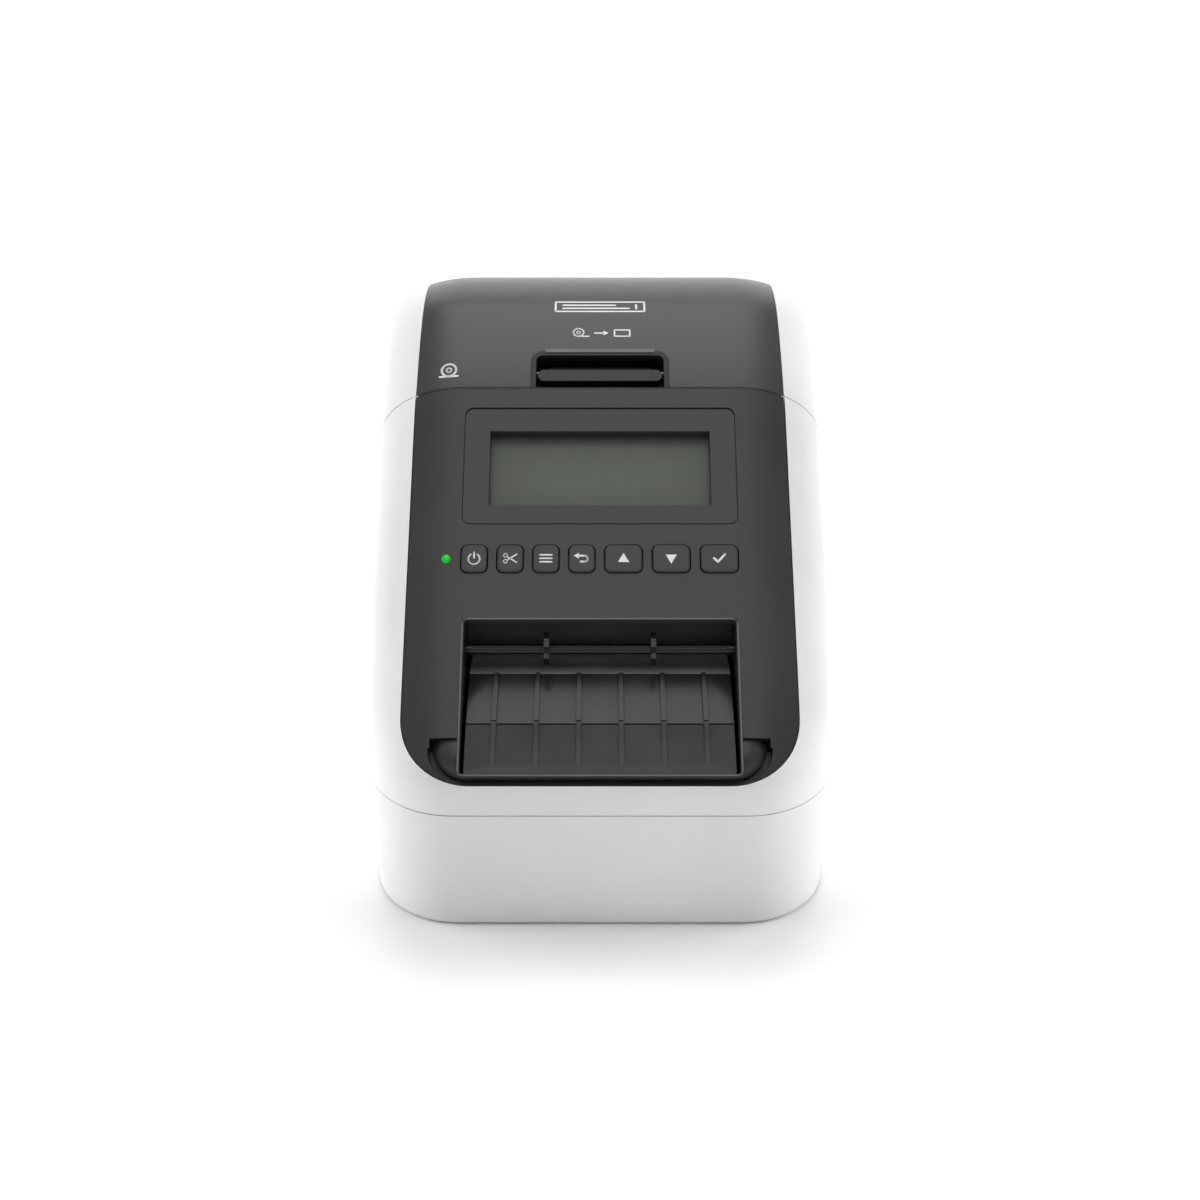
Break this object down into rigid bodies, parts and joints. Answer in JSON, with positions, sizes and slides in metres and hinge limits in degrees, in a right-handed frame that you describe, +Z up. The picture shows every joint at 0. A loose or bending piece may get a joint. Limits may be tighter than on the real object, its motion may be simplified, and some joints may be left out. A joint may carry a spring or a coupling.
{
  "type": "label maker",
  "caption": "Desktop label printer: white case, dark sloping panel with display, push buttons and label outlet, and a smoke-tinted hinged cover over the label roll.",
  "frame": {"origin": "on the table under the middle of the case", "axes": "+X to the right seen from the front, +Y to the rear, +Z up"},
  "size_m": [0.1254, 0.234, 0.145],
  "materials": {
    "case_white": "fine satin moulding",
    "panel_dark": "fine satin moulding",
    "outlet_black": "fine moulding",
    "chute_dark": "polished moulding",
    "key_dark": "satin moulding",
    "smoke_clear": "polished, smoke tinted",
    "lens_clear": "polished",
    "display_glass": "polished",
    "lamp_green": "clear lens",
    "key_rubber": "matt",
    "platen_rubber": "ground matt",
    "foot_rubber": "matt",
    "board_green": "solder resist",
    "sheet_steel": "zinc plated sheet",
    "ground_steel": "ground",
    "head_aluminium": "milled",
    "head_ceramic": "glazed",
    "gear_plastic": "natural acetal",
    "bush_brass": "sintered",
    "label_paper": "smooth coated",
    "core_card": "wound card",
    "spool_black": "fine moulding",
    "tub_dark": "fine moulding",
    "plate_silver": "printed foil, blank",
    "screw_steel": "zinc plated"
  },
  "bodies": {
    "case": {"lower_housing": "case_white", "upper_housing": "case_white", "front_panel": "panel_dark", "display_bezel": "panel_dark", "key_mat": "key_rubber", "panel_board": "board_green", "status_lamp": "lamp_green", "display_lens": "lens_clear", "display_module": "display_glass", "outlet_chute": "chute_dark", "outlet_box": "outlet_black", "exit_guide_bar": "chute_dark", "guide_rings": "chute_dark", "print_chassis": "sheet_steel", "platen_bushes": "bush_brass", "idler_axle": "ground_steel", "feed_motor": "sheet_steel", "head_springs": "ground_steel", "cutter_motor": "sheet_steel", "fixed_blade": "ground_steel", "spool_arms": "spool_black", "roll_tub": "tub_dark", "hinge_pins": "ground_steel", "main_board": "board_green", "power_inlet": "outlet_black", "usb_port": "sheet_steel", "network_port": "sheet_steel", "rubber_feet": "foot_rubber", "case_screws": "screw_steel", "rating_plate": "plate_silver"},
    "cover": {"cover_shell": "case_white", "cover_window": "smoke_clear", "latch_tray": "outlet_black", "lever_pin": "ground_steel"},
    "lever": {"release_lever": "key_dark"},
    "platen": {"platen_shaft": "ground_steel", "platen_rubber": "platen_rubber", "platen_gear": "gear_plastic"},
    "idler": {"idler_gear": "gear_plastic"},
    "pinion": {"motor_pinion": "gear_plastic"},
    "head": {"head_bracket": "head_aluminium", "thermal_head": "head_ceramic", "head_shaft": "ground_steel"},
    "blade": {"moving_blade": "ground_steel"},
    "cutter_gear": {"cutter_pinion": "gear_plastic"},
    "roll": {"label_core": "core_card", "label_paper": "label_paper"},
    "key_power": {"button_power": "key_dark"},
    "key_cut": {"button_cut": "key_dark"},
    "key_menu": {"button_menu": "key_dark"},
    "key_back": {"button_back": "key_dark"},
    "key_up": {"button_up": "key_dark"},
    "key_down": {"button_down": "key_dark"},
    "key_confirm": {"button_confirm": "key_dark"}
  },
  "joints": [
    {"name": "cover_hinge", "type": "hinge", "parent": "case", "child": "cover", "pos_m": [0, 0.114, 0.078], "axis": [-1, 0, 0], "range_deg": [0, 75]},
    {"name": "lever_pivot", "type": "hinge", "parent": "cover", "child": "lever", "pos_m": [0, -0.02543, 0.12562], "axis": [-1, 0, 0], "range_deg": [0, 20], "stiffness_Nm_per_rad": 0.02},
    {"name": "head_lift", "type": "hinge", "parent": "case", "child": "head", "pos_m": [0, -0.038, 0.069], "axis": [-1, 0, 0], "range_deg": [0, 5], "deforming": ["head_springs"]},
    {"name": "platen_spin", "type": "hinge", "parent": "case", "child": "platen", "pos_m": [0, -0.05, 0.055], "axis": [1, 0, 0], "continuous": true},
    {"name": "idler_spin", "type": "hinge", "parent": "case", "child": "idler", "pos_m": [0, -0.02933, 0.04748], "axis": [1, 0, 0], "continuous": true},
    {"name": "pinion_spin", "type": "hinge", "parent": "case", "child": "pinion", "pos_m": [0, -0.0163, 0.03655], "axis": [1, 0, 0], "continuous": true},
    {"name": "blade_lift", "type": "slide", "parent": "case", "child": "blade", "axis": [0, 0, 1], "range_m": [0, 0.005]},
    {"name": "cutter_turn", "type": "hinge", "parent": "case", "child": "cutter_gear", "pos_m": [0.033, -0.0736, 0.048], "axis": [1, 0, 0], "range_deg": [0, 52]},
    {"name": "roll_spin", "type": "hinge", "parent": "case", "child": "roll", "pos_m": [0, 0.045, 0.072], "axis": [1, 0, 0], "continuous": true},
    {"name": "press_power", "type": "slide", "parent": "case", "child": "key_power", "axis": [0, 0.7071, -0.7071], "range_m": [0, 0.0008], "stiffness_N_per_m": 300},
    {"name": "press_cut", "type": "slide", "parent": "case", "child": "key_cut", "axis": [0, 0.7071, -0.7071], "range_m": [0, 0.0008], "stiffness_N_per_m": 300},
    {"name": "press_menu", "type": "slide", "parent": "case", "child": "key_menu", "axis": [0, 0.7071, -0.7071], "range_m": [0, 0.0008], "stiffness_N_per_m": 300},
    {"name": "press_back", "type": "slide", "parent": "case", "child": "key_back", "axis": [0, 0.7071, -0.7071], "range_m": [0, 0.0008], "stiffness_N_per_m": 300},
    {"name": "press_up", "type": "slide", "parent": "case", "child": "key_up", "axis": [0, 0.7071, -0.7071], "range_m": [0, 0.0008], "stiffness_N_per_m": 300},
    {"name": "press_down", "type": "slide", "parent": "case", "child": "key_down", "axis": [0, 0.7071, -0.7071], "range_m": [0, 0.0008], "stiffness_N_per_m": 300},
    {"name": "press_confirm", "type": "slide", "parent": "case", "child": "key_confirm", "axis": [0, 0.7071, -0.7071], "range_m": [0, 0.0008], "stiffness_N_per_m": 300}
  ],
  "couplings": [
    {"joint": "head_lift", "follows": "cover_hinge", "ratio": 0.0666},
    {"joint": "idler_spin", "follows": "platen_spin", "ratio": -1.2},
    {"joint": "pinion_spin", "follows": "platen_spin", "ratio": 1.7143},
    {"joint": "cutter_turn", "follows": "blade_lift", "rad_per_m": 178.57}
  ]
}
